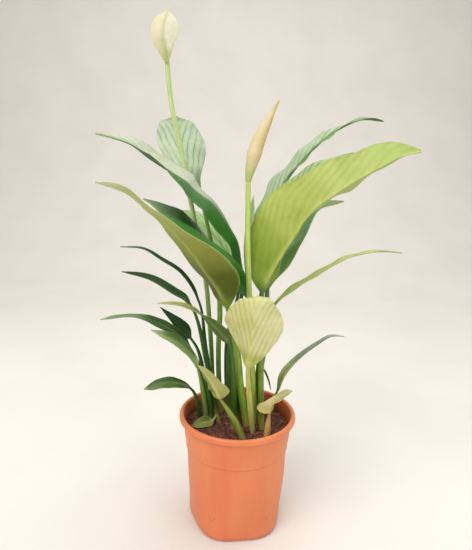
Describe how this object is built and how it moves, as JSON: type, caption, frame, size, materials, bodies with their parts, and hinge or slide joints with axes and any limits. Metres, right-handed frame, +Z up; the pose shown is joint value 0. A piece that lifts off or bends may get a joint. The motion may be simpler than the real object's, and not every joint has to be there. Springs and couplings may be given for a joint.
{
  "type": "potted peace lily",
  "caption": "Flowering peace lily with arching pointed leaves, an open white spathe and a furled one, growing in a round terracotta-coloured plastic nursery pot.",
  "frame": {"origin": "centre of the pot's flat underside, in the plane the pot stands on", "axes": "+Z up along the pot's axis; -Y toward the viewer of the picture; +X to that viewer's right"},
  "size_m": [0.2881, 0.2059, 0.5072],
  "materials": {
    "pot_plastic": "satin moulded terracotta colour",
    "peat_soil": "rough, granular",
    "mature_leaf": "glossy above, dull below",
    "young_leaf": "dull pale green",
    "flower_stalk": "smooth satin",
    "spathe": "soft satin",
    "spadix": "matt, fine bumps"
  },
  "bodies": {
    "root": {"pot": "pot_plastic", "soil": "peat_soil", "leaf_01": "mature_leaf", "leaf_02": "mature_leaf", "leaf_03": "mature_leaf", "leaf_04": "mature_leaf", "leaf_05": "mature_leaf", "leaf_06": "mature_leaf", "leaf_07": "mature_leaf", "leaf_08": "mature_leaf", "leaf_09": "mature_leaf", "leaf_10": "mature_leaf", "leaf_11": "young_leaf", "leaf_12": "young_leaf", "leaf_13": "mature_leaf", "leaf_14": "mature_leaf", "leaf_15": "mature_leaf", "leaf_16": "mature_leaf", "leaf_17": "mature_leaf", "leaf_18": "young_leaf", "leaf_19": "young_leaf", "leaf_20": "mature_leaf", "leaf_21": "mature_leaf", "leaf_22": "young_leaf", "leaf_23": "young_leaf", "leaf_24": "mature_leaf", "flower_1_stalk": "flower_stalk", "flower_1_spathe": "spathe", "flower_1_spadix": "spadix", "flower_2_stalk": "flower_stalk", "flower_2_spathe": "spathe"}
  },
  "joints": []
}
